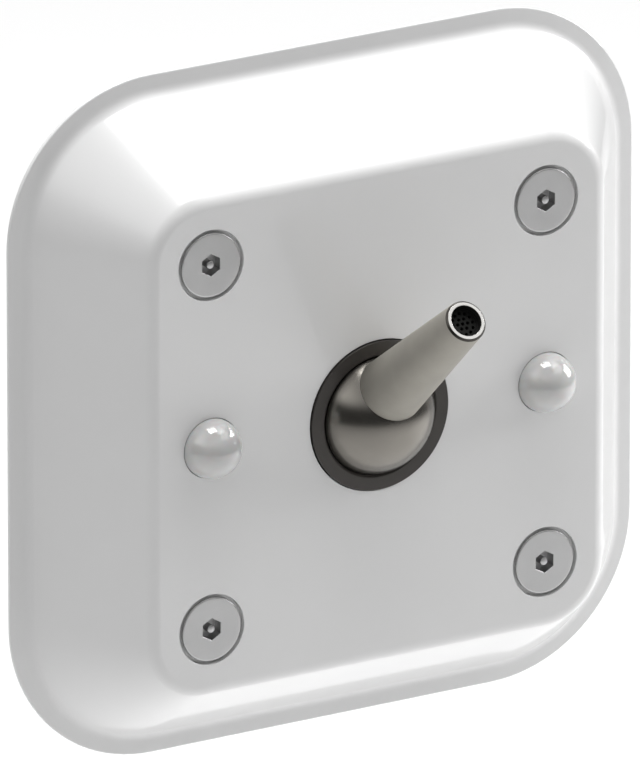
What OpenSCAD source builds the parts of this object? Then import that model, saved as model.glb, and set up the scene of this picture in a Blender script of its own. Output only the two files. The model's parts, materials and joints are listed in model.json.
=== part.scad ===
/* [Housing] */
// Width and height of the square housing at its rim
housing_w = 120; // [118:0.5:124]
// Radius of the rim's corners
rim_corner_r = 27; // [25:0.5:29]
// Width of the rim around the sloping sides
rim_w = 3.4; // [3.1:0.1:3.6]
// Thickness of the rim at its outer edge
rim_edge_t = 0.7; // [0.6:0.1:0.9]
// Rise of the rim from its outer edge to the foot of the slope
rim_rise = 0.35; // [0.2:0.05:0.5]
// Width and height of the front face, to where the slopes would meet it
face_w = 86.4; // [85.6:0.2:88]
// Depth of the housing, from the wall to the front face
housing_d = 19.5; // [19.5:0.1:20.5]
// Radius that blends the front face into the slopes
face_edge_r = 3; // [1:0.5:4]
// Thickness of the housing's wall
cover_t = 3; // [2.8:0.1:3.2]

/* [Security screws] */
// Distance between the screws, centre to centre, both ways
screw_spacing = 64.2; // [62:0.2:66]
// Diameter of the countersunk head
screw_head_d = 11.1; // [10.6:0.1:11.4]
// Diameter of the counterbore around the head
counterbore_d = 12.4; // [12:0.1:12.8]
// Diameter of the screw's thread
screw_d = 6; // [5:0.1:6]
// Hexagon socket, across its corners
socket_corners = 3.9; // [3.4:0.1:4.6]
// Diameter of the tamper-proof pin in the socket
pin_d = 1.4; // [1.2:0.1:1.6]

/* [Indicators] */
// Distance between the two indicator lenses
lens_spacing = 64.2; // [62:0.2:66]
// Diameter of each domed lens
lens_d = 10.3; // [9.6:0.1:10.8]

/* [Swivel nozzle] */
// Diameter of the swivelling ball
ball_d = 21.8; // [21.6:0.1:21.9]
// Depth of the ball's centre behind the front face
ball_recess = 3.2; // [3:0.1:3.4]
// Tilt of the nozzle away from straight out, at its stop
tilt = 38.8; // [0:0.1:38.8]
// Distance from the ball's centre to the nozzle's tip
nozzle_len = 40.75; // [32:0.25:48]
// Diameter of the nozzle where it meets the ball
nozzle_root_d = 11.3; // [10.4:0.1:11.4]
// Diameter of the nozzle at its tip
nozzle_tip_d = 7.2; // [6.8:0.1:7.6]
// Diameter of the nozzle's bore
nozzle_bore_d = 5.4; // [5:0.1:5.6]
// Outer diameter of the dark retaining ring
ring_d = 26.2; // [26.1:0.1:27]
// Height of the retaining ring above the front face
ring_proud = 0.4; // [0.3:0.1:0.5]

/* [Wall side] */
// Thickness of the back plate
plate_t = 2; // [1.8:0.1:2.2]
// Pitch circle of the four wall fixing holes
fixing_pcd = 92; // [88:1:94]
// Diameter of the wall fixing holes
fixing_d = 5.2; // [4.5:0.1:5.5]
// Minor diameter of the threaded inlet
inlet_d = 8.566; // [8:0.1:9]
// Depth of the threaded inlet
inlet_depth = 4.4; // [4:0.1:4.6]
// Bore of the cable grommet
cable_d = 6; // [5:0.5:7]

/* [Hidden] */
$fn = 96;

// Small overshoot, so that a cut passes cleanly through a face
eps = 0.5;

// Planes, as heights above the wall
face_q = housing_d;
inner_q = face_q - cover_t;
ball_q = face_q - ball_recess;
rim_q = rim_edge_t + rim_rise;

// The housing: every outline is a rounded square about the same four corner centres
corner_c = housing_w / 2 - rim_corner_r;
slope_run = housing_w / 2 - rim_w - face_w / 2;
slope_rise = face_q - rim_q;
slope_angle = atan2(slope_rise, slope_run);
slope_foot_r = rim_corner_r - rim_w;
slope_top_r = slope_foot_r - slope_run;
cavity_foot_r = slope_foot_r + rim_q * slope_run / slope_rise - cover_t / sin(slope_angle);
cavity_top_r = cavity_foot_r - inner_q * slope_run / slope_rise;
gasket_w = 2.5;
gasket_t = 0.9;
gasket_outer_r = rim_corner_r - 4.5;
plate_r = cavity_foot_r - 2;
outline_fn = 64;

// The screws, their bosses and standoffs
screw_c = screw_spacing / 2;
screw_r = screw_d / 2;
head_r = screw_head_d / 2;
head_land = 0.4;
head_q = face_q - head_land;
counterbore_q = face_q - 1;
boss_r = 6.5;
standoff_r = 5;
standoff_top_q = 8;
boss_foot_q = standoff_top_q + 0.2;

// The indicators
lens_c = lens_spacing / 2;
lens_r = lens_d / 2;
lens_t = 1.5;
lens_flange_r = lens_r + 2.25;
lens_flange_t = 1.4;
lens_gasket_t = 0.6;
lens_flange_q = inner_q - lens_gasket_t;
retainer_t = 1;
retainer_q = lens_flange_q - lens_flange_t - retainer_t;
lens_boss_bore_r = lens_flange_r + 0.2;
lens_boss_r = lens_boss_bore_r + 1.7;
led_r = 2.5;

// The ball, its seats and the socket that holds them
ball_r = ball_d / 2;
seat_gap = 0.1;
cup_r = ball_r + seat_gap;
ring_r = ring_d / 2;
ring_front_q = face_q + ring_proud;
ring_flange_q = ring_front_q - 1.6;
ring_bevel = 0.3;
ring_gasket_t = 0.4;
recess_q = ring_flange_q - ring_gasket_t;
recess_r = ring_r + 0.2;
sleeve_r = 12.4;
sleeve_q = ball_q - 6.3;
seat_r = 11.5;
seat_q = ball_q - 7.65;
seat_top_q = ball_q - 1.7;
seat_bore_r = 8.5;
seal_angle = 66;
seal_wire_r = 0.5;
seal_c = ball_r + seal_wire_r + 0.05;
socket_r = 15;
socket_gasket_t = 0.8;
socket_top_q = inner_q - socket_gasket_t;
thread_foot_q = ball_q - 6.8;
spring_seat_q = ball_q - 9.1;
chamber_q = ball_q - 10.6;
neck_r = 7.5;
passage_r = 3.2;

// The nozzle, along its own axis from the ball's centre
ball_rear = 9.4;
spot_face = sqrt(pow(ball_r, 2) - pow(nozzle_root_d / 2, 2)) - 0.2;
spigot_r = 4;
spigot_foot = 3;
tip_chamfer = 0.35;
bore_r = nozzle_bore_d / 2;
passage_step = 0.25;
insert_t = 1;
insert_front = nozzle_len - 1.4;

// The indicator board
board_q = 8;
board_t = 1.6;
board_c = [25, 5.5];
board_top_q = board_q + board_t;
block_c = -18.5;
grommet_c = -34;
grommet_r = 5;

// Stands a piece on the wall: its own Z is the way out from the wall, its own Y is up
module on_wall() {
    rotate([90, 0, 0]) children();
}

// Turns a piece on the ball's centre, its own Z along the nozzle
module on_ball() {
    on_wall() translate([0, 0, ball_q]) rotate([-tilt, 0, 0]) children();
}

// A rounded square solid, whose edge follows a profile of [radius about the corner, height]
module rounded_square(profile) {
    hull() for (x = [-1, 1], y = [-1, 1])
        translate([x * corner_c, y * corner_c, 0])
            rotate_extrude($fn = outline_fn) polygon(profile);
}

// A straight tube between two heights
module tube(outer_r, inner_r, q0, q1) {
    translate([0, 0, q0]) difference() {
        cylinder(r = outer_r, h = q1 - q0);
        translate([0, 0, -eps]) cylinder(r = inner_r, h = q1 - q0 + 2 * eps);
    }
}

// A disc between two heights
module disc(r, q0, q1) {
    translate([0, 0, q0]) cylinder(r = r, h = q1 - q0);
}

// Puts a piece at each of the four screw places
module at_screws() {
    for (x = [-1, 1], y = [-1, 1]) translate([x * screw_c, y * screw_c, 0]) children();
}

// The rim of the housing and the sloping shell above it
module housing_outside() {
    arc_c = [slope_top_r - face_edge_r * tan(slope_angle / 2), face_q - face_edge_r];
    rounded_square([[0, 0], [rim_corner_r, 0], [rim_corner_r, rim_edge_t], [slope_foot_r, rim_q], [0, rim_q]]);
    rounded_square(concat(
        [[0, 0], [slope_foot_r, 0], [slope_foot_r, rim_q]],
        [for (i = [0:6]) let (a = 90 - slope_angle * (1 - i / 6)) arc_c + face_edge_r * [cos(a), sin(a)]],
        [[0, face_q]]
    ));
}

module front_cover() {
    color("white") on_wall() difference() {
        union() {
            difference() {
                housing_outside();
                rounded_square([
                    [0, -eps], [cavity_foot_r, -eps], [cavity_foot_r, 0], [cavity_top_r, inner_q], [0, inner_q]
                ]);
            }
            at_screws() disc(boss_r, boss_foot_q, inner_q + eps);
            for (x = [-1, 1]) translate([x * lens_c, 0, 0]) disc(lens_boss_r, retainer_q, inner_q + eps);
        }
        gasket_rebate();
        at_screws() screw_hole();
        for (x = [-1, 1]) translate([x * lens_c, 0, 0]) {
            disc(lens_boss_bore_r, retainer_q - eps, inner_q);
            disc(lens_r + 0.1, inner_q - eps, face_q + eps);
        }
        disc(sleeve_r + 0.15, inner_q - eps, face_q + eps);
        disc(recess_r, recess_q, face_q + eps);
    }
}

// The step in the rim's inner edge that the wall gasket lies in
module gasket_rebate() {
    rounded_square([[0, -eps], [gasket_outer_r, -eps], [gasket_outer_r, gasket_t], [0, gasket_t]]);
}

// Clearance for one screw, with its countersink and the counterbore that leaves a gap around the head
module screw_hole() {
    seat_depth = head_r - screw_r;
    disc(screw_r + 0.2, boss_foot_q - eps, face_q);
    translate([0, 0, head_q - seat_depth])
        cylinder(r1 = screw_r + 0.05, r2 = head_r + 0.05, h = seat_depth);
    disc(counterbore_d / 2, counterbore_q, face_q + eps);
}

module wall_gasket() {
    color("dimgray") on_wall() difference() {
        rounded_square([[0, 0], [gasket_outer_r, 0], [gasket_outer_r, gasket_t], [0, gasket_t]]);
        rounded_square([
            [0, -eps], [gasket_outer_r - gasket_w, -eps],
            [gasket_outer_r - gasket_w, gasket_t + eps], [0, gasket_t + eps]
        ]);
    }
}

module back_plate() {
    color("silver") on_wall() difference() {
        rounded_square([[0, 0], [plate_r, 0], [plate_r, plate_t], [0, plate_t]]);
        at_screws() disc(standoff_r - 1.4, -eps, plate_t + eps);
        disc(neck_r + 0.3, -eps, plate_t + eps);
        for (a = [0:90:270]) rotate([0, 0, a]) translate([fixing_pcd / 2, 0, 0])
            disc(fixing_d / 2, -eps, plate_t + eps);
        translate([0, grommet_c, 0]) disc(grommet_r + 0.05, -eps, plate_t + eps);
    }
}

// A threaded standoff pressed into the back plate; x and y are -1 or 1, the corner it stands in
module standoff(x, y) {
    color("gainsboro") on_wall() translate([x * screw_c, y * screw_c, 0]) difference() {
        union() {
            disc(standoff_r - 1.45, 0, plate_t);
            disc(standoff_r, plate_t, standoff_top_q);
        }
        disc(screw_r + 0.05, -eps, standoff_top_q + eps);
    }
}

// A countersunk screw with a hexagon socket and a pin that keeps common keys out
module security_screw(x, y) {
    seat_depth = head_r - screw_r;
    socket_depth = 2;
    color("silver") on_wall() translate([x * screw_c, y * screw_c, 0]) {
        difference() {
            union() {
                disc(screw_r, 3, head_q - seat_depth);
                translate([0, 0, head_q - seat_depth]) cylinder(r1 = screw_r, r2 = head_r, h = seat_depth);
                disc(head_r, head_q, face_q);
            }
            translate([0, 0, face_q - socket_depth]) rotate([0, 0, 30])
                cylinder(d = socket_corners, h = socket_depth + eps, $fn = 6);
        }
        disc(pin_d / 2, face_q - socket_depth - eps, face_q - 0.2);
    }
}

module retaining_ring() {
    color([0.29, 0.28, 0.27]) on_wall() difference() {
        union() {
            disc(sleeve_r, sleeve_q, ring_flange_q + eps);
            disc(ring_r, ring_flange_q, ring_front_q - 0.2);
            translate([0, 0, ring_front_q - 0.2]) cylinder(r1 = ring_r, r2 = ring_r - 0.2, h = 0.2);
        }
        translate([0, 0, ball_q]) sphere(r = cup_r);
        disc(seat_r + 0.1, sleeve_q - eps, ball_q - 0.8);
        translate([0, 0, ring_front_q - ring_bevel])
            cylinder(r1 = ring_mouth_r(), r2 = ring_mouth_r() + 2 * ring_bevel, h = 2 * ring_bevel);
    }
}

// Radius of the ring's mouth where its bevel starts
function ring_mouth_r() = sqrt(pow(cup_r, 2) - pow(ring_front_q - ring_bevel - ball_q, 2)) - 0.02;

module ring_gasket() {
    color("black") on_wall() tube(ring_r - 0.05, sleeve_r + 0.05, recess_q, ring_flange_q);
}

module socket_body() {
    color("darkgray") on_wall() difference() {
        union() {
            disc(socket_r, plate_t + 0.3, socket_top_q);
            disc(neck_r, 0, plate_t + 0.3 + eps);
        }
        disc(sleeve_r + 0.1, thread_foot_q, socket_top_q + eps);
        disc(seat_r + 0.1, spring_seat_q, thread_foot_q + eps);
        disc(seat_bore_r - 0.2, chamber_q, spring_seat_q + eps);
        disc(inlet_d / 2, -eps, inlet_depth);
        disc(passage_r, inlet_depth - eps, chamber_q + eps);
    }
}

module socket_gasket() {
    color("black") on_wall() tube(socket_r, sleeve_r + 0.4, socket_top_q, inner_q);
}

// A conical spring washer that presses the rear seat onto the ball
module disc_spring() {
    spring_t = 0.5;
    color("silver") on_wall() rotate_extrude() polygon([
        [seat_r - 0.2, spring_seat_q], [seat_r - 0.2, spring_seat_q + spring_t],
        [seat_bore_r + 0.2, seat_q - 0.05], [seat_bore_r + 0.2, seat_q - 0.05 - spring_t]
    ]);
}

module rear_ball_seat() {
    color("ivory") on_wall() difference() {
        tube(seat_r, seat_bore_r, seat_q, seat_top_q);
        translate([0, 0, ball_q]) sphere(r = cup_r);
        seal_ring(seal_wire_r + 0.05);
    }
}

// A ring of round section that lies against the back of the ball
module seal_ring(wire_r) {
    translate([0, 0, ball_q - seal_c * cos(seal_angle)])
        rotate_extrude() translate([seal_c * sin(seal_angle), 0]) circle(r = wire_r, $fn = 32);
}

module ball_seal() {
    color("black") on_wall() seal_ring(seal_wire_r);
}

module swivel_ball() {
    funnel_h = 1;
    color([0.52, 0.5, 0.47]) on_ball() difference() {
        sphere(r = ball_r);
        disc(ball_r, -2 * ball_r, -ball_rear);
        disc(nozzle_root_d / 2 + 0.03, spot_face, 2 * ball_r);
        disc(spigot_r + 0.05, spigot_foot, spot_face + eps);
        disc(bore_r - passage_step, -ball_r, spigot_foot + eps);
        translate([0, 0, -ball_rear - eps])
            cylinder(r1 = bore_r + 0.9, r2 = bore_r - passage_step, h = funnel_h + eps);
    }
}

module nozzle_tube() {
    color([0.52, 0.5, 0.47]) on_ball() difference() {
        union() {
            disc(spigot_r, spigot_foot, spot_face + eps);
            translate([0, 0, spot_face]) cylinder(
                d1 = nozzle_root_d, d2 = nozzle_tip_d, h = nozzle_len - tip_chamfer - spot_face
            );
            translate([0, 0, nozzle_len - tip_chamfer]) cylinder(
                d1 = nozzle_tip_d, d2 = nozzle_tip_d - 2 * tip_chamfer, h = tip_chamfer
            );
        }
        disc(bore_r - passage_step, spigot_foot - eps, nozzle_len);
        disc(bore_r, insert_front, nozzle_len + eps);
    }
}

// The spray disc inside the tip: a central hole and two rings of fine ones
module spray_insert() {
    jet_r = 0.27;
    color([0.15, 0.15, 0.15]) on_ball() difference() {
        disc(bore_r - passage_step - 0.02, insert_front - insert_t, insert_front - 0.1);
        for (ring = [0:2]) for (i = [0:max(6 * ring - 1, 0)])
            rotate([0, 0, i * 60 / max(ring, 1)]) translate([ring * 0.95, 0, 0])
                disc(jet_r, insert_front - insert_t - eps, insert_front + eps);
    }
}

// A hollow domed lens that comes through the face from behind; side is -1 or 1
module indicator_lens(side) {
    color([0.95, 0.95, 0.93]) on_wall() translate([side * lens_c, 0, 0]) difference() {
        union() {
            disc(lens_flange_r, lens_flange_q - lens_flange_t, lens_flange_q);
            disc(lens_r, lens_flange_q - eps, face_q);
            intersection() {
                translate([0, 0, face_q]) sphere(r = lens_r);
                disc(lens_r + 1, face_q - eps / 2, face_q + lens_r + 1);
            }
        }
        disc(lens_r - lens_t, lens_flange_q - lens_flange_t - eps, face_q);
        translate([0, 0, face_q]) sphere(r = lens_r - lens_t);
    }
}

module lens_gasket(side) {
    color("black") on_wall() translate([side * lens_c, 0, 0])
        tube(lens_flange_r, lens_r + 0.2, lens_flange_q, inner_q);
}

// A ring pressed into the cover's boss behind the lens
module lens_retainer(side) {
    color("silver") on_wall() translate([side * lens_c, 0, 0])
        tube(lens_boss_bore_r - 0.02, lens_r - 0.15, retainer_q, retainer_q + retainer_t);
}

module led(side) {
    led_top_q = board_top_q + 6;
    color("lightyellow") on_wall() translate([side * lens_c, 0, 0]) {
        disc(led_r + 0.4, board_top_q, board_top_q + 1);
        disc(led_r, board_top_q + 0.5, led_top_q - led_r);
        intersection() {
            translate([0, 0, led_top_q - led_r]) sphere(r = led_r);
            disc(led_r + 1, led_top_q - led_r - 0.25, led_top_q + 1);
        }
    }
}

module at_board_screws() {
    for (x = [-1, 1], y = [-1, 1]) translate([x * board_c[0], y * board_c[1], 0]) children();
}

module indicator_board() {
    wing = [77, 18];
    color("darkgreen") on_wall() difference() {
        union() {
            disc(21.5, board_q, board_top_q);
            translate([-wing[0] / 2, -wing[1] / 2, board_q]) cube([wing[0], wing[1], board_t]);
        }
        disc(socket_r + 0.5, board_q - eps, board_top_q + eps);
        at_board_screws() disc(1.6, board_q - eps, board_top_q + eps);
    }
}

module terminal_block() {
    block = [10, 5, 6];
    color("green") on_wall() translate([-block[0] / 2, block_c - block[1] / 2, board_top_q]) difference() {
        cube(block);
        for (x = [-1, 1]) translate([block[0] / 2 + x * 2.5, block[1] / 2, 0]) {
            translate([0, 0, block[2] - 2]) cylinder(d = 3, h = 2 + eps);
            translate([0, 0, 2]) rotate([90, 0, 0]) cylinder(d = 2, h = block[1]);
        }
    }
}

module board_spacers() {
    color("gainsboro") on_wall() at_board_screws() tube(2.75, 1.5, plate_t, board_q);
}

module board_screws() {
    color("silver") on_wall() at_board_screws() difference() {
        union() {
            disc(1.45, board_q - 4, board_top_q + eps);
            disc(2.6, board_top_q, board_top_q + 1.6);
        }
        translate([0, 0, board_top_q + 0.6]) cylinder(d = 2.4, h = 1 + eps, $fn = 6);
    }
}

module cable_grommet() {
    color("black") on_wall() translate([0, grommet_c, 0]) difference() {
        union() {
            disc(grommet_r, 0, plate_t + 1);
            disc(grommet_r + 1.5, plate_t, plate_t + 1.5);
        }
        disc(cable_d / 2, -eps, plate_t + 1.5 + eps);
    }
}

front_cover();
wall_gasket();
back_plate();
standoff(-1, 1);  // standoff_top_left
standoff(1, 1);  // standoff_top_right
standoff(-1, -1);  // standoff_bottom_left
standoff(1, -1);  // standoff_bottom_right
security_screw(-1, 1);  // security_screw_top_left
security_screw(1, 1);  // security_screw_top_right
security_screw(-1, -1);  // security_screw_bottom_left
security_screw(1, -1);  // security_screw_bottom_right
retaining_ring();
ring_gasket();
socket_body();
socket_gasket();
disc_spring();
rear_ball_seat();
ball_seal();
swivel_ball();
nozzle_tube();
spray_insert();
indicator_lens(-1);  // indicator_lens_left
indicator_lens(1);  // indicator_lens_right
lens_gasket(-1);  // lens_gasket_left
lens_gasket(1);  // lens_gasket_right
lens_retainer(-1);  // lens_retainer_left
lens_retainer(1);  // lens_retainer_right
led(-1);  // led_left
led(1);  // led_right
indicator_board();
terminal_block();
board_spacers();
board_screws();
cable_grommet();
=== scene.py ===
"""Looks of a wall-mounted swivel nozzle housing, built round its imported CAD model.

Lengths inside the shape functions are millimetres: x to the right, y up the wall and q out from the
wall, as the mechanical design has them. world() turns such a point into metres in the row frame.
"""

import json
import math

import bmesh
import bpy
from mathutils import Matrix, Quaternion, Vector

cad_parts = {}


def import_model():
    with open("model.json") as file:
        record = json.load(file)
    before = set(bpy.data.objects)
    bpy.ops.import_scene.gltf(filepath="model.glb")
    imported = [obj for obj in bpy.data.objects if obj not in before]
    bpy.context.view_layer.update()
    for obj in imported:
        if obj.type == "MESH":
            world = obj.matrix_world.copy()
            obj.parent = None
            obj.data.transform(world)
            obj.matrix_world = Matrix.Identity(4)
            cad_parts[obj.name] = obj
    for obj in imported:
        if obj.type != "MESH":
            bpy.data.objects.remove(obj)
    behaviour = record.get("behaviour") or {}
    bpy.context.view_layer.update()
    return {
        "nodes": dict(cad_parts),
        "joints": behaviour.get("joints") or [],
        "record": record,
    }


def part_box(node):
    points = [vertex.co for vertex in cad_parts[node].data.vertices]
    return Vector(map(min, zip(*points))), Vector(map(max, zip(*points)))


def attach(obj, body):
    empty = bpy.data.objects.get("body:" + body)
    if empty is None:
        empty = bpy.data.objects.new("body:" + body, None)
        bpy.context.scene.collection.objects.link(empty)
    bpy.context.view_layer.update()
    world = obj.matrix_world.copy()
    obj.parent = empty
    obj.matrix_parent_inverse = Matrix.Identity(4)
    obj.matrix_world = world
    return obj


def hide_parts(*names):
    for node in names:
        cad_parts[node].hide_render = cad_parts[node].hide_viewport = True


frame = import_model()

MM = 0.001
TAU = 2 * math.pi


# ---------------------------------------------------------------- places, from the CAD model

def span(node):
    """A node's box as ((x0, x1), (y0, y1), (q0, q1)) in millimetres."""
    low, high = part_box(node)
    return ((low.x / MM, high.x / MM), (low.z / MM, high.z / MM), (-high.y / MM, -low.y / MM))


def centre(pair):
    return (pair[0] + pair[1]) / 2


COVER = span("front_cover")
HALF_W = COVER[0][1]
FACE_Q = COVER[2][1]
SCREW = span("security_screw_top_right")
SCREW_C = centre(SCREW[0])
HEAD_R = (SCREW[0][1] - SCREW[0][0]) / 2
LENS = span("indicator_lens_right")
LENS_C = centre(LENS[0])
LENS_R = LENS[2][1] - FACE_Q
RING = span("retaining_ring")
RING_R = RING[0][1]
RING_Q = RING[2][1]
TILT_JOINT = next(j for j in frame["joints"] if j["name"] == "nozzle_tilt")
BALL_Q = -TILT_JOINT["pos_m"][1] / MM
OUTLET = next(m for m in frame["record"]["mounts"] if m["name"] == "nozzle_outlet")
NOZZLE_AXIS = Vector(OUTLET["axis"])

# The housing's outline: arcs about four corner centres
CORNER_C = 33.0
RIM_R = HALF_W - CORNER_C
RIM_W = 3.4
RIM_EDGE_T = 0.7
RIM_Q = 1.05
SLOPE_TOP_R = 10.2
FACE_EDGE_R = 3.0
COVER_T = 3.0
INNER_Q = FACE_Q - COVER_T


def world(x, y, q):
    return Vector((x * MM, -q * MM, y * MM))


# ---------------------------------------------------------------- mesh helpers

def finish_mesh(name, bm, body, material, nodes=(), sharp=35):
    """Turns a bmesh into a finished piece: smooth but for sharp edges, on its body, in its slot."""
    bmesh.ops.recalc_face_normals(bm, faces=bm.faces)
    mesh = bpy.data.meshes.new(name)
    bm.to_mesh(mesh)
    bm.free()
    mesh.polygons.foreach_set("use_smooth", [True] * len(mesh.polygons))
    mesh.set_sharp_from_angle(angle=math.radians(sharp))
    for one in material if isinstance(material, list) else [material]:
        mesh.materials.append(one)
    piece = bpy.data.objects.new(name, mesh)
    bpy.context.scene.collection.objects.link(piece)
    normals = piece.modifiers.new("face weighted normals", "WEIGHTED_NORMAL")
    normals.keep_sharp = True
    normals.weight = 100
    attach(piece, body)
    if nodes:
        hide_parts(*nodes)
    return piece


def ring_of(bm, points):
    return [bm.verts.new(p) for p in points]


def bridge(bm, a, b):
    """Quads between two closed rings of the same length."""
    n = len(a)
    return [bm.faces.new((a[i], a[(i + 1) % n], b[(i + 1) % n], b[i])) for i in range(n)]


def edges_of(ring):
    """The edges along a closed ring of vertices that already has faces on one side."""
    found = []
    for i, v in enumerate(ring):
        w = ring[(i + 1) % len(ring)]
        found.append(next((e for e in v.link_edges if e.other_vert(v) == w), None))
    return found


def fill(bm, rings):
    """A flat face with holes between closed rings, as triangles."""
    edges = []
    for ring in rings:
        for i, edge in enumerate(edges_of(ring)):
            edges.append(edge or bm.edges.new((ring[i], ring[(i + 1) % len(ring)])))
    bmesh.ops.triangle_fill(bm, edges=edges, use_beauty=True, use_dissolve=False)


def arc(cx, cq, r, a0, a1, n):
    """Points of an arc as (radius, height), from angle a0 to a1 in degrees."""
    step = (a1 - a0) / n
    return [(cx + r * math.cos(math.radians(a0 + step * i)), cq + r * math.sin(math.radians(a0 + step * i)))
            for i in range(n + 1)]


def rounded(profile, r=0.15, steps=3):
    """The profile with each inner corner cut by a small arc, so that edges catch the light.
    A point given as (radius, height, size) has its own size of arc, and size 0 keeps it sharp."""
    out = [profile[0][:2]]
    for before, here, after in zip(profile, profile[1:], profile[2:]):
        size = here[2] if len(here) > 2 else r
        p, a, b = Vector(here[:2]), Vector(before[:2]), Vector(after[:2])
        da, db = (a - p), (b - p)
        cut = min(size, 0.45 * da.length, 0.45 * db.length)
        if cut < 1e-4:
            out.append(tuple(p))
            continue
        start, end = p + da.normalized() * cut, p + db.normalized() * cut
        for i in range(steps + 1):
            t = i / steps
            q = (1 - t) ** 2 * start + 2 * t * (1 - t) * p + t * t * end
            out.append(tuple(q))
    out.append(profile[-1][:2])
    return out


def placing(x=0.0, y=0.0, q=0.0, axis=None):
    """A matrix in millimetres that stands a lathe profile at a point of the wall, along the axis."""
    out = axis or Vector((0, -1, 0))
    right = Vector((1, 0, 0))
    up = out.cross(right)
    turn = Matrix((right, up, out)).transposed().to_4x4()
    return Matrix.Translation(world(x, y, q)) @ turn @ Matrix.Scale(MM, 4)


def lathe(bm, profile, place, n=96, closed=True, finish=None):
    """A body of revolution. The profile's points are (radius, height along the axis); u goes round
    and v along the profile in millimetres, for the turned finish. finish(a, b) numbers the material
    between two points of the profile."""
    uv = bm.loops.layers.uv.verify()
    rings, along = [], [0.0]
    for a, b in zip(profile, profile[1:]):
        along.append(along[-1] + math.dist(a, b))
    for r, h in profile:
        if r < 1e-6:
            rings.append([bm.verts.new(place @ Vector((0, 0, h)))])
        else:
            rings.append(ring_of(bm, [
                place @ Vector((r * math.cos(TAU * i / n), r * math.sin(TAU * i / n), h)) for i in range(n)
            ]))
    pairs = list(range(len(rings) - 1)) + ([len(rings) - 1] if closed else [])
    for k in pairs:
        a, b = rings[k], rings[(k + 1) % len(rings)]
        va, vb = along[k], along[(k + 1) % len(rings)]
        for i in range(n):
            j = (i + 1) % n
            corners = [(a[i % len(a)], i, va), (a[j % len(a)], i + 1, va),
                       (b[j % len(b)], i + 1, vb), (b[i % len(b)], i, vb)]
            seen, kept = set(), []
            for v, u, w in corners:
                if v not in seen:
                    seen.add(v)
                    kept.append((v, u, w))
            if len(kept) < 3:
                continue
            face = bm.faces.new([v for v, u, w in kept])
            face.material_index = finish(profile[k], profile[(k + 1) % len(profile)]) if finish else 0
            for loop, (v, u, w) in zip(face.loops, kept):
                loop[uv].uv = (u / n, w)
    return rings


# ---------------------------------------------------------------- materials

class Paint:
    """A small helper for node materials: makes nodes and links them."""

    def __init__(self, name, base, roughness, **sockets):
        self.material = bpy.data.materials.new(name)
        self.material.use_nodes = True
        self.tree = self.material.node_tree
        self.shader = self.tree.nodes["Principled BSDF"]
        self.shader.inputs["Base Color"].default_value = (*base, 1)
        self.shader.inputs["Roughness"].default_value = roughness
        for key, value in sockets.items():
            self.shader.inputs[key.title()].default_value = value
        self.material.diffuse_color = (*base, 1)

    def node(self, kind, **settings):
        made = self.tree.nodes.new(kind)
        for key, value in settings.items():
            if hasattr(made, key):
                setattr(made, key, value)
            else:
                made.inputs[key.replace("_", " ").title()].default_value = value
        return made

    def link(self, a, b):
        self.tree.links.new(a, b)

    def noise(self, source, scale, detail=3.0, stretch=None):
        """Noise over object coordinates in metres ("Object") or over the lathe's own ("UV")."""
        coordinates = self.node("ShaderNodeTexCoord")
        out = coordinates.outputs[source]
        if stretch:
            mapping = self.node("ShaderNodeMapping")
            mapping.inputs["Scale"].default_value = stretch
            self.link(out, mapping.inputs["Vector"])
            out = mapping.outputs["Vector"]
        texture = self.node("ShaderNodeTexNoise", scale=scale, detail=detail)
        self.link(out, texture.inputs["Vector"])
        return texture.outputs["Fac"]

    def ramp(self, value, *stops):
        """Colours or greys at places along a value."""
        ramp = self.node("ShaderNodeValToRGB")
        elements = ramp.color_ramp.elements
        while len(elements) < len(stops):
            elements.new(0.5)
        for element, (place, colour) in zip(elements, stops):
            element.position = place
            element.color = (*colour, 1) if len(colour) == 3 else (colour[0],) * 3 + (1,)
        self.link(value, ramp.inputs["Fac"])
        return ramp.outputs["Color"]

    def colour(self, output):
        self.link(output, self.shader.inputs["Base Color"])
        return self

    def roughness(self, output):
        self.link(output, self.shader.inputs["Roughness"])
        return self

    def bump(self, height, distance, strength=1.0):
        """Raises the surface by a height map; calls add up."""
        bump = self.node("ShaderNodeBump")
        bump.inputs["Distance"].default_value = distance
        bump.inputs["Strength"].default_value = strength
        self.link(height, bump.inputs["Height"])
        before = self.shader.inputs["Normal"].links
        if before:
            self.link(before[0].from_socket, bump.inputs["Normal"])
        self.link(bump.outputs["Normal"], self.shader.inputs["Normal"])
        return self


def shades(base, spread):
    """The same colour, a little darker and a little lighter."""
    return tuple(c * (1 - spread) for c in base), tuple(min(1.0, c * (1 + spread)) for c in base)


def gloss_coat():
    """White powder coat: glossy, with a very fine orange peel and faint clouding."""
    base = (0.79, 0.79, 0.79)
    dark, light = shades(base, 0.012)
    paint = Paint("gloss white coat", base, 0.34)
    paint.shader.inputs["Coat Weight"].default_value = 0.6
    paint.shader.inputs["Coat Roughness"].default_value = 0.05
    paint.colour(paint.ramp(paint.noise("Object", 35), (0.35, dark), (0.65, light)))
    paint.roughness(paint.ramp(paint.noise("Object", 90), (0.3, (0.32,)), (0.7, (0.38,))))
    paint.bump(paint.noise("Object", 900, 2), 0.00001, 0.25)
    return paint.material


def opal_lens():
    """Glossy opal white moulding."""
    base = (0.57, 0.57, 0.565)
    dark, light = shades(base, 0.02)
    paint = Paint("opal lens", base, 0.12)
    paint.shader.inputs["IOR"].default_value = 2.0
    paint.shader.inputs["Subsurface Weight"].default_value = 0.15
    paint.shader.inputs["Subsurface Scale"].default_value = 0.002
    paint.colour(paint.ramp(paint.noise("Object", 150), (0.35, dark), (0.65, light)))
    paint.roughness(paint.ramp(paint.noise("Object", 400), (0.3, (0.09,)), (0.7, (0.14,))))
    paint.bump(paint.noise("Object", 1500, 2), 0.000004, 0.2)
    return paint.material


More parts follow.
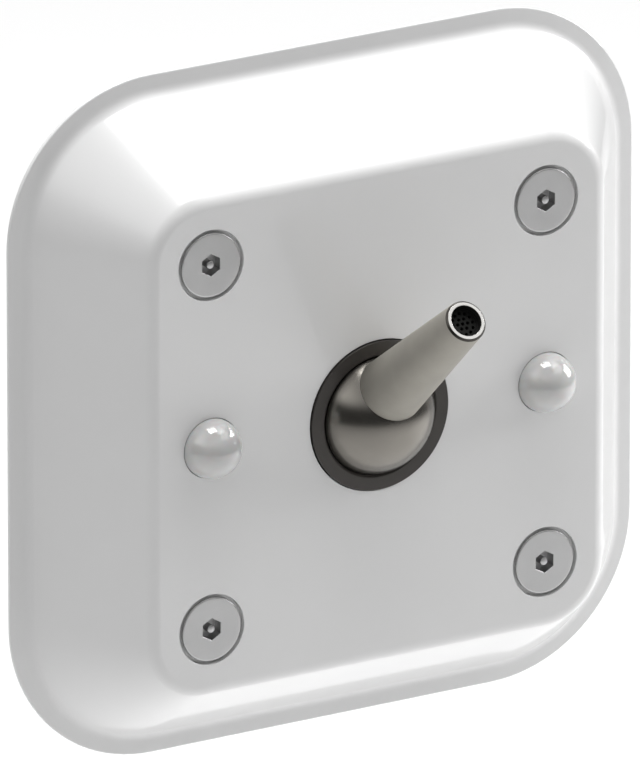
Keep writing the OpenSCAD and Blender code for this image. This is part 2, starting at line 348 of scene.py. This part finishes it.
def turned(name, base, metallic, low, high, groove=0.000004, spread=0.06):
    """Metal off a lathe: fine grooves that run round the piece, with slightly uneven sheen."""
    dark, light = shades(base, spread)
    paint = Paint(name, base, low, metallic=metallic)
    grooves = paint.noise("UV", 1.0, 4, stretch=(2.0, 26.0, 1.0))
    cloud = paint.noise("Object", 220)
    paint.colour(paint.ramp(cloud, (0.3, dark), (0.7, light)))
    paint.roughness(paint.ramp(grooves, (0.3, (low,)), (0.7, (high,))))
    paint.bump(grooves, groove, 0.6)
    return paint.material


def plain(name, base, roughness, metallic=0.0, scale=300, spread=0.08, grain=0.00002, specular=0.5):
    """Moulded or sheet stuff with a fine grain."""
    dark, light = shades(base, spread)
    paint = Paint(name, base, roughness, metallic=metallic)
    paint.shader.inputs["Specular IOR Level"].default_value = specular
    paint.colour(paint.ramp(paint.noise("Object", scale), (0.3, dark), (0.7, light)))
    paint.roughness(paint.ramp(
        paint.noise("Object", scale * 2), (0.3, (roughness * 0.85,)), (0.7, (min(1.0, roughness * 1.15),))
    ))
    paint.bump(paint.noise("Object", scale * 5, 2), grain, 0.3)
    return paint.material


def brushed_plate():
    """Sheet metal, brushed along one way."""
    base = (0.55, 0.55, 0.56)
    dark, light = shades(base, 0.08)
    paint = Paint("brushed plate", base, 0.4, metallic=1.0)
    brushing = paint.noise("Object", 60, 6, stretch=(1.0, 1.0, 60.0))
    paint.colour(paint.ramp(brushing, (0.3, dark), (0.7, light)))
    paint.roughness(paint.ramp(brushing, (0.3, (0.34,)), (0.7, (0.48,))))
    paint.bump(brushing, 0.00001, 0.4)
    return paint.material


MATERIALS = {
    "white_cover": gloss_coat(),
    "lens_white": opal_lens(),
    "dark_ring": turned("dark ring", (0.06, 0.055, 0.051), 0.5, 0.34, 0.46),
    "nozzle_metal": turned("warm grey metal", (0.215, 0.203, 0.183), 1.0, 0.2, 0.27, spread=0.04),
    "barrel_metal": turned("warm grey barrel", (0.36, 0.343, 0.305), 0.6, 0.5, 0.6, spread=0.04),
    # Painted shade: the tip chamfer is made dark, standing in for the dark line of shade and reflection under
    # the tip.
    "chamfer_painted_shade": turned("chamfer painted shade", (0.07, 0.066, 0.06), 1.0, 0.25, 0.32, spread=0.04),
    # Painted highlight: the nozzle's end face is much lighter than the rest of the nozzle, standing in for a
    # bright reflection.
    "end_face_painted_highlight": turned("end face painted highlight", (0.62, 0.61, 0.59), 1.0, 0.14, 0.2, spread=0.03),
    "screw_steel": turned("screw steel", (0.5, 0.5, 0.5), 1.0, 0.32, 0.42, spread=0.03),
    # The spray insert's own near-black; the nozzle's bore wall also wears it as painted shade.
    "insert_dark": plain("spray insert and painted bore shade", (0.012, 0.012, 0.011), 0.6, specular=0.15),
    "plate_metal": brushed_plate(),
    "black_rubber": plain("black rubber", (0.03, 0.03, 0.03), 0.75, grain=0.00004),
    "seat_plastic": plain("acetal", (0.72, 0.7, 0.62), 0.4),
    "board_green": plain("board", (0.02, 0.13, 0.05), 0.35),
    "terminal_green": plain("terminal", (0.03, 0.28, 0.09), 0.45),
    "led_clear": plain("led resin", (0.75, 0.75, 0.62), 0.15),
}


# ---------------------------------------------------------------- the housing

ARC_STEPS = 24
HOLE_STEPS = 64


def outline(r, q):
    """One closed ring of the housing: arcs of radius r about the four corner centres, at height q."""
    points = []
    for k, (sx, sy) in enumerate(((1, 1), (-1, 1), (-1, -1), (1, -1))):
        for i in range(ARC_STEPS + 1):
            a = math.radians(90 * k + 90 * i / ARC_STEPS)
            points.append(world(sx * CORNER_C + r * math.cos(a), sy * CORNER_C + r * math.sin(a), q))
    return points


def slope_geometry():
    """Angle of the slopes from the wall, and the radius of the slope's foot."""
    run = RIM_R - RIM_W - SLOPE_TOP_R
    rise = FACE_Q - RIM_Q
    return math.degrees(math.atan2(rise, run)), RIM_R - RIM_W, run / rise


def cover_profile():
    """Outside and inside of the shell, from the edge of the front face round to the inner face."""
    angle, foot_r, run_per_rise = slope_geometry()
    arc_r = SLOPE_TOP_R - FACE_EDGE_R * math.tan(math.radians(angle / 2))
    face_edge = arc(arc_r, FACE_Q - FACE_EDGE_R, FACE_EDGE_R, 90, 90 - angle, 10)
    cavity_foot = foot_r + RIM_Q * run_per_rise - COVER_T / math.sin(math.radians(angle))
    cavity_top = cavity_foot - INNER_Q * run_per_rise
    rest = rounded([
        face_edge[-1], (foot_r, RIM_Q, 1.2), (RIM_R, RIM_EDGE_T, 0.5), (RIM_R, 0, 0.2), (RIM_R - 4.5, 0, 0.1),
        (RIM_R - 4.5, 0.9, 0.1), (cavity_foot - 0.9 * run_per_rise, 0.9, 0.1), (cavity_top, INNER_Q)
    ], steps=4)
    return face_edge + rest[1:]


def screw_hole():
    """Counterbore, countersink and boss of one screw, from the front face to the inner face."""
    return rounded([
        (6.32, FACE_Q), (6.2, FACE_Q, 0.12), (6.2, FACE_Q - 1, 0.05), (HEAD_R - 0.55, FACE_Q - 1, 0.03),
        (3.2, FACE_Q - 2.95, 0.03), (3.2, 8.2, 0.1), (6.5, 8.2, 0.2), (6.5, INNER_Q)
    ])


def lens_hole():
    return rounded([
        (LENS_R + 0.2, FACE_Q), (LENS_R + 0.1, FACE_Q, 0.08), (LENS_R + 0.1, INNER_Q, 0.02),
        (LENS_R + 2.45, INNER_Q, 0.05), (LENS_R + 2.45, 13.5, 0.05), (LENS_R + 4.15, 13.5, 0.2),
        (LENS_R + 4.15, INNER_Q)
    ])


def ring_hole():
    return rounded([
        (RING_R + 0.3, FACE_Q), (RING_R + 0.2, FACE_Q, 0.1), (RING_R + 0.2, RING_Q - 2, 0.03),
        (12.55, RING_Q - 2, 0.03), (12.55, INNER_Q)
    ])


def front_cover():
    bm = bmesh.new()
    rings = [ring_of(bm, outline(r, q)) for r, q in cover_profile()]
    for a, b in zip(rings, rings[1:]):
        bridge(bm, a, b)
    fronts, backs = [rings[0]], [rings[-1]]
    holes = [(sx * SCREW_C, sy * SCREW_C, screw_hole()) for sx in (-1, 1) for sy in (-1, 1)]
    holes += [(sx * LENS_C, 0, lens_hole()) for sx in (-1, 1)]
    holes += [(0, 0, ring_hole())]
    for x, y, profile in holes:
        made = lathe(bm, profile, placing(x, y), HOLE_STEPS, closed=False)
        fronts.append(made[0])
        backs.append(made[-1])
    fill(bm, fronts)
    fill(bm, backs)
    return finish_mesh("cover_shell", bm, "housing", MATERIALS["white_cover"], ["front_cover"])


# ---------------------------------------------------------------- screws

def security_screw(name, x, y):
    """A countersunk head with a hexagon socket, and the pin that stands in it."""
    bm = bmesh.new()
    socket_r, depth, pin_r = 1.95, 2.0, 0.7
    foot = SCREW[2][0]
    profile = rounded([
        (0, foot), (3.0, foot, 0.4), (3.0, FACE_Q - 2.95, 0.1), (HEAD_R, FACE_Q - 0.4, 0.1),
        (HEAD_R, FACE_Q, 0.22), (HEAD_R - 0.4, FACE_Q)
    ], steps=4)
    rim = lathe(bm, profile, placing(x, y), 72, closed=False)[-1]

    def hexagon(r, q):
        corners = [(r * math.cos(math.radians(30 + 60 * k)), r * math.sin(math.radians(30 + 60 * k)))
                   for k in range(6)]
        return ring_of(bm, [world(x + cx, y + cy, q) for cx, cy in corners])

    mouth = hexagon(socket_r + 0.06, FACE_Q)
    lip = hexagon(socket_r, FACE_Q - 0.06)
    floor = hexagon(socket_r, FACE_Q - depth)
    bridge(bm, mouth, lip)
    bridge(bm, lip, floor)
    fill(bm, [rim, mouth])
    pin = lathe(bm, rounded([
        (pin_r, FACE_Q - depth), (pin_r, FACE_Q - 0.2, 0.2), (0, FACE_Q - 0.15)
    ]), placing(x, y), 32, closed=False)
    fill(bm, [floor, pin[0]])
    return finish_mesh(
        name + "_detailed", bm, "housing", MATERIALS["screw_steel"], [name], sharp=30
    )


# ---------------------------------------------------------------- ring, ball and nozzle

def retaining_ring():
    """The dark ring with its sleeve, its spherical seat and a bevelled mouth."""
    cup_r, sleeve_r, sleeve_bore_r = 11.0, 12.4, 11.6
    seat_top = RING_Q - 0.3
    top_angle = math.degrees(math.asin((seat_top - BALL_Q) / cup_r))
    low_angle = math.degrees(math.asin(-0.8 / cup_r))
    seat = arc(0, BALL_Q, cup_r, low_angle, top_angle, 16)
    mouth_r = seat[-1][0]
    profile = seat + rounded([
        seat[-1], (mouth_r, seat_top, 0.0), (mouth_r + 0.32, RING_Q, 0.1), (RING_R, RING_Q, 0.1),
        (RING_R, RING_Q - 1.6, 0.05), (sleeve_r, RING_Q - 1.6, 0.05), (sleeve_r, RING[2][0], 0.1),
        (sleeve_bore_r, RING[2][0], 0.1), (sleeve_bore_r, BALL_Q - 0.8, 0.05), seat[0]
    ])[2:-1]
    bm = bmesh.new()
    lathe(bm, profile, placing(), 128)
    return finish_mesh("ring_turned", bm, "housing", MATERIALS["dark_ring"], ["retaining_ring"])


BALL_R = 10.9
NOZZLE_ROOT_R = 5.65
NOZZLE_LEN = 40.75
TIP_R = 3.6
BORE_R = 2.7
PASSAGE_R = 2.45
TIP_CHAMFER = 0.35
SPOT_FACE = math.sqrt(BALL_R ** 2 - NOZZLE_ROOT_R ** 2) - 0.2
INSERT_FRONT = NOZZLE_LEN - 1.4
SHANK_R, SHANK_FOOT = 4.0, 3.0  # the part of the tube that stands in the ball


def on_ball():
    return placing(0, 0, BALL_Q, NOZZLE_AXIS)


def swivel_ball():
    rear = -9.4
    mouth_r = 3.6
    low = math.degrees(math.asin(rear / BALL_R))
    edge_r = NOZZLE_ROOT_R + 0.03
    top = math.degrees(math.acos(edge_r / BALL_R))
    profile = rounded([
        (PASSAGE_R, SHANK_FOOT), (PASSAGE_R, rear + 1, 0.1), (mouth_r, rear, 0.1),
        (BALL_R * math.cos(math.radians(low)), rear)
    ])
    profile += arc(0, 0, BALL_R, low, top, 64)[1:]
    profile += [(edge_r, SPOT_FACE), (SHANK_R + 0.05, SPOT_FACE), (SHANK_R + 0.05, SHANK_FOOT)]
    bm = bmesh.new()
    lathe(bm, profile, on_ball(), 160)
    look = MATERIALS["nozzle_metal"]
    return finish_mesh("ball_turned", bm, "nozzle", look, ["swivel_ball"])


def nozzle_tube():
    profile = rounded([
        (PASSAGE_R, SHANK_FOOT), (SHANK_R, SHANK_FOOT, 0.1), (SHANK_R, SPOT_FACE, 0.05),
        (NOZZLE_ROOT_R, SPOT_FACE, 0.02),
        (TIP_R, NOZZLE_LEN - TIP_CHAMFER, 0.04), (TIP_R - TIP_CHAMFER, NOZZLE_LEN, 0.02),
        (BORE_R + 0.02, NOZZLE_LEN, 0.02), (BORE_R, INSERT_FRONT, 0.03), (PASSAGE_R, INSERT_FRONT, 0.03),
        (PASSAGE_R, INSERT_FRONT - 3)
    ])

    def finish(a, b):
        """The end face gets a bright metal as a painted highlight, its chamfer a dark metal as painted shade,
        and the bore wall the insert's near-black as painted shade in the hollow.
        """
        # Painted highlight on the flat end face of the tip.
        if min(a[1], b[1]) > NOZZLE_LEN - 0.01:
            return 1
        # Painted shade on the chamfer at the tip.
        if min(a[0], b[0]) > BORE_R + 0.1 and min(a[1], b[1]) > NOZZLE_LEN - TIP_CHAMFER - 0.03:
            return 3
        # Painted shade: the bore wall and the passage behind the insert take the insert's near-black,
        # standing in for the shade inside the hollow.
        return 2 if max(a[0], b[0]) < BORE_R + 0.06 and min(a[1], b[1]) > INSERT_FRONT - 3.1 else 0

    bm = bmesh.new()
    lathe(bm, profile, on_ball(), 128, finish=finish)
    # Looks by index: the barrel, the end face with a painted highlight, painted shade on the bore wall, and
    # the chamfer with painted shade.
    looks = [MATERIALS[look] for look in ("barrel_metal", "end_face_painted_highlight", "insert_dark", "chamfer_painted_shade")]
    return finish_mesh("nozzle_turned", bm, "nozzle", looks, ["nozzle_tube"])


def spray_insert():
    """A disc with a central hole and two rings of fine ones, each with a countersunk mouth."""
    front, back = INSERT_FRONT - 0.1, INSERT_FRONT - 1.0
    jet_r, pitch = 0.27, 0.95
    jet = [(jet_r + 0.06, front), (jet_r, front - 0.08), (jet_r, back)]
    bm = bmesh.new()
    rim = lathe(bm, rounded([
        (PASSAGE_R - 0.12, back), (PASSAGE_R - 0.02, back, 0.0), (PASSAGE_R - 0.02, front, 0.08),
        (PASSAGE_R - 0.12, front)
    ]), on_ball(), 64, closed=False)
    fronts, backs = [rim[-1]], [rim[0]]
    for ring in range(3):
        for i in range(max(6 * ring, 1)):
            a = TAU * i / max(6 * ring, 1)
            offset = Vector((math.cos(a), math.sin(a), 0)) * ring * pitch
            place = on_ball() @ Matrix.Translation(offset)
            made = lathe(bm, jet, place, 16, closed=False)
            fronts.append(made[0])
            backs.append(made[-1])
    fill(bm, fronts)
    fill(bm, backs)
    look = MATERIALS["insert_dark"]
    return finish_mesh("insert_drilled", bm, "nozzle", look, ["spray_insert"])


# ---------------------------------------------------------------- indicator lenses

def indicator_lens(name, x):
    """A hollow dome on a barrel that comes through the face, with its flange behind."""
    wall = 1.5
    low = LENS[2][0]
    outside = arc(0, FACE_Q, LENS_R, 0, 90, 32)
    inside = arc(0, FACE_Q, LENS_R - wall, 90, 0, 20)
    profile = outside + inside + rounded([
        inside[-1], (LENS_R - wall, low, 0.1), (LENS_R + 2.25, low, 0.2), (LENS_R + 2.25, low + 1.4, 0.2),
        (LENS_R, low + 1.4, 0.1), outside[0]
    ])[1:-1]
    profile = [(0.0 if r < 1e-4 else r, q) for r, q in profile]
    bm = bmesh.new()
    lathe(bm, profile, placing(x, 0), 96)
    return finish_mesh(name + "_moulded", bm, "housing", MATERIALS["lens_white"], [name])


# ---------------------------------------------------------------- the rest of the CAD model

def dress_cad_nodes():
    """The other CAD nodes keep their own mesh, with smooth rounds, crisp edges and their finish."""
    slots = {s["node"]: s["material_slot"] for s in frame["record"]["subparts"]}
    for name, node in frame["nodes"].items():
        if node.hide_render:
            continue
        node.data.materials.clear()
        node.data.materials.append(MATERIALS[slots[name]])
        node.data.polygons.foreach_set("use_smooth", [True] * len(node.data.polygons))
        node.data.set_sharp_from_angle(angle=math.radians(32))
        if slots[name] in ("screw_steel", "dark_ring", "nozzle_metal"):
            add_turning_uv(node)


def add_turning_uv(node):
    """Gives a CAD node the coordinates that the turned finish reads: round its axis, and along it."""
    low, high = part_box(node.name)
    mid = (low + high) / 2
    layer = node.data.uv_layers.new(name="turning") if not node.data.uv_layers else node.data.uv_layers[0]
    for loop in node.data.loops:
        p = node.data.vertices[loop.vertex_index].co - mid
        layer.data[loop.index].uv = (math.atan2(p.z, p.x) / TAU, (math.hypot(p.x, p.z) - p.y) / MM)


# ---------------------------------------------------------------- camera, floor and light

VIEW_AZIMUTH, VIEW_ELEVATION = -30, 20
LENS_MM, SENSOR_MM = 1000, 36
FRAME_PER_WIDTH = 1.0585  # the frame's height, as a share of the housing's width
AIM_RIGHT, AIM_UP = -9.84, 5.45  # from the middle of the face, in the picture's own directions


def direction(azimuth, elevation):
    a, e = math.radians(azimuth), math.radians(elevation)
    return Vector((math.sin(a) * math.cos(e), -math.cos(a) * math.cos(e), math.sin(e)))


def camera():
    """A long lens, so that parallel edges stay nearly parallel, with the housing filling the frame."""
    back = direction(VIEW_AZIMUTH, VIEW_ELEVATION)
    right = Vector((0, 0, 1)).cross(back).normalized()
    up = back.cross(right)
    view_height = FRAME_PER_WIDTH * 2 * HALF_W * MM
    distance = view_height * LENS_MM / SENSOR_MM
    aim = world(0, 0, FACE_Q) + (AIM_RIGHT * right + AIM_UP * up) * MM
    data = bpy.data.cameras.new("camera")
    data.lens, data.sensor_width = LENS_MM, SENSOR_MM
    data.clip_start, data.clip_end = 0.1, 50
    cam = bpy.data.objects.new("camera", data)
    cam.location = aim + back * distance
    cam.rotation_mode = "QUATERNION"
    cam.rotation_quaternion = (-back).to_track_quat("-Z", "Y")
    bpy.context.scene.collection.objects.link(cam)
    bpy.context.scene.camera = cam


FLOOR_Z = -0.45
FLOOR_R = 2.2


def floor():
    bm = bmesh.new()
    bmesh.ops.create_circle(bm, cap_ends=True, segments=96, radius=FLOOR_R)
    mesh = bpy.data.meshes.new("floor")
    bm.to_mesh(mesh)
    bm.free()
    ground = bpy.data.objects.new("floor", mesh)
    ground.location = (0, 0, FLOOR_Z)
    base = (0.86, 0.86, 0.86)
    paint = Paint("floor", base, 0.9)
    paint.shader.inputs["Specular IOR Level"].default_value = 0
    dark, light = shades(base, 0.01)
    paint.colour(paint.ramp(paint.noise("Object", 3), (0.3, dark), (0.7, light)))
    mesh.materials.append(paint.material)
    bpy.context.scene.collection.objects.link(ground)


def softbox(name, towards, size, radiance, target=Vector((0, 0, 0)), distance=1.6, roll=0.0):
    """A square area light that shines from a direction at the target."""
    data = bpy.data.lights.new(name, "AREA")
    data.shape = "SQUARE"
    data.size = size
    data.energy = radiance * math.pi * size ** 2
    lamp = bpy.data.objects.new(name, data)
    lamp.location = target + towards.normalized() * distance
    lamp.rotation_mode = "QUATERNION"
    aimed = (-towards.normalized()).to_track_quat("-Z", "Y")
    lamp.rotation_quaternion = aimed @ Quaternion((0, 0, 1), math.radians(roll))
    bpy.context.scene.collection.objects.link(lamp)


def softboxes():
    """A square overhead key, a low light from the right, and pools of light on the floor."""
    softbox("key", Vector((0.33, -0.04, 0.94)), 1.0, 1.7, roll=45)
    softbox("top", Vector((0, 0, 1)), 0.7, 11)
    softbox("side", Vector((0.9, -0.1, 0.3)), 0.7, 11)
    for name, x, y, radiance in (("front right", 0.9, -0.7, 1.2), ("back", 0.5, 1.2, 3)):
        softbox(name + " pool", Vector((0, 0, 1)), 1.0, radiance, target=Vector((x, y, FLOOR_Z)))


# The surroundings: how bright the dark band at eye level is, and the sky above it towards each side
BAND = 0.07
SKY = (("front left", (-0.707, -0.707), 0.85), ("back left", (-0.707, 0.707), 1.8))
SKY_FROM, SKY_TO = 14, 34


def surroundings():
    """Dark up to a little above eye level, so that curved metal shows a horizon, and brighter above."""
    world_data = bpy.data.worlds.new("studio")
    bpy.context.scene.world = world_data
    world_data.use_nodes = True
    tree = world_data.node_tree
    coordinates = tree.nodes.new("ShaderNodeTexCoord")
    split = tree.nodes.new("ShaderNodeSeparateXYZ")
    tree.links.new(coordinates.outputs["Generated"], split.inputs["Vector"])

    def maths(operation, *values):
        node = tree.nodes.new("ShaderNodeMath")
        node.operation = operation
        for value, socket in zip(values, node.inputs):
            if isinstance(value, (int, float)):
                socket.default_value = value
            else:
                tree.links.new(value, socket)
        return node.outputs["Value"]

    rise = tree.nodes.new("ShaderNodeMapRange")
    rise.interpolation_type = "SMOOTHSTEP"
    rise.inputs["From Min"].default_value = math.sin(math.radians(SKY_FROM))
    rise.inputs["From Max"].default_value = math.sin(math.radians(SKY_TO))
    tree.links.new(split.outputs["Z"], rise.inputs["Value"])
    sky = 0.0
    for _, (x, y), radiance in SKY:
        along_x, along_y = maths("MULTIPLY", split.outputs["X"], x), maths("MULTIPLY", split.outputs["Y"], y)
        towards = maths("ADD", along_x, along_y)
        sky = maths("MULTIPLY_ADD", maths("MAXIMUM", towards, 0.0), radiance, sky)
    above = maths("MULTIPLY", sky, rise.outputs["Result"])
    below = maths("MULTIPLY", BAND, maths("SUBTRACT", 1.0, rise.outputs["Result"]))
    tree.links.new(maths("ADD", above, below), tree.nodes["Background"].inputs["Strength"])
    tree.nodes["Background"].inputs["Color"].default_value = (1, 1, 1, 1)


# ---------------------------------------------------------------- the whole scene

camera()
floor()
softboxes()
surroundings()
bpy.context.scene.view_settings.view_transform = "Standard"
front_cover()
for node_name in sorted(n for n in frame["nodes"] if n.startswith("security_screw")):
    box = span(node_name)
    security_screw(node_name, centre(box[0]), centre(box[1]))
retaining_ring()
swivel_ball()
nozzle_tube()
spray_insert()
for node_name in ("indicator_lens_left", "indicator_lens_right"):
    indicator_lens(node_name, centre(span(node_name)[0]))
dress_cad_nodes()
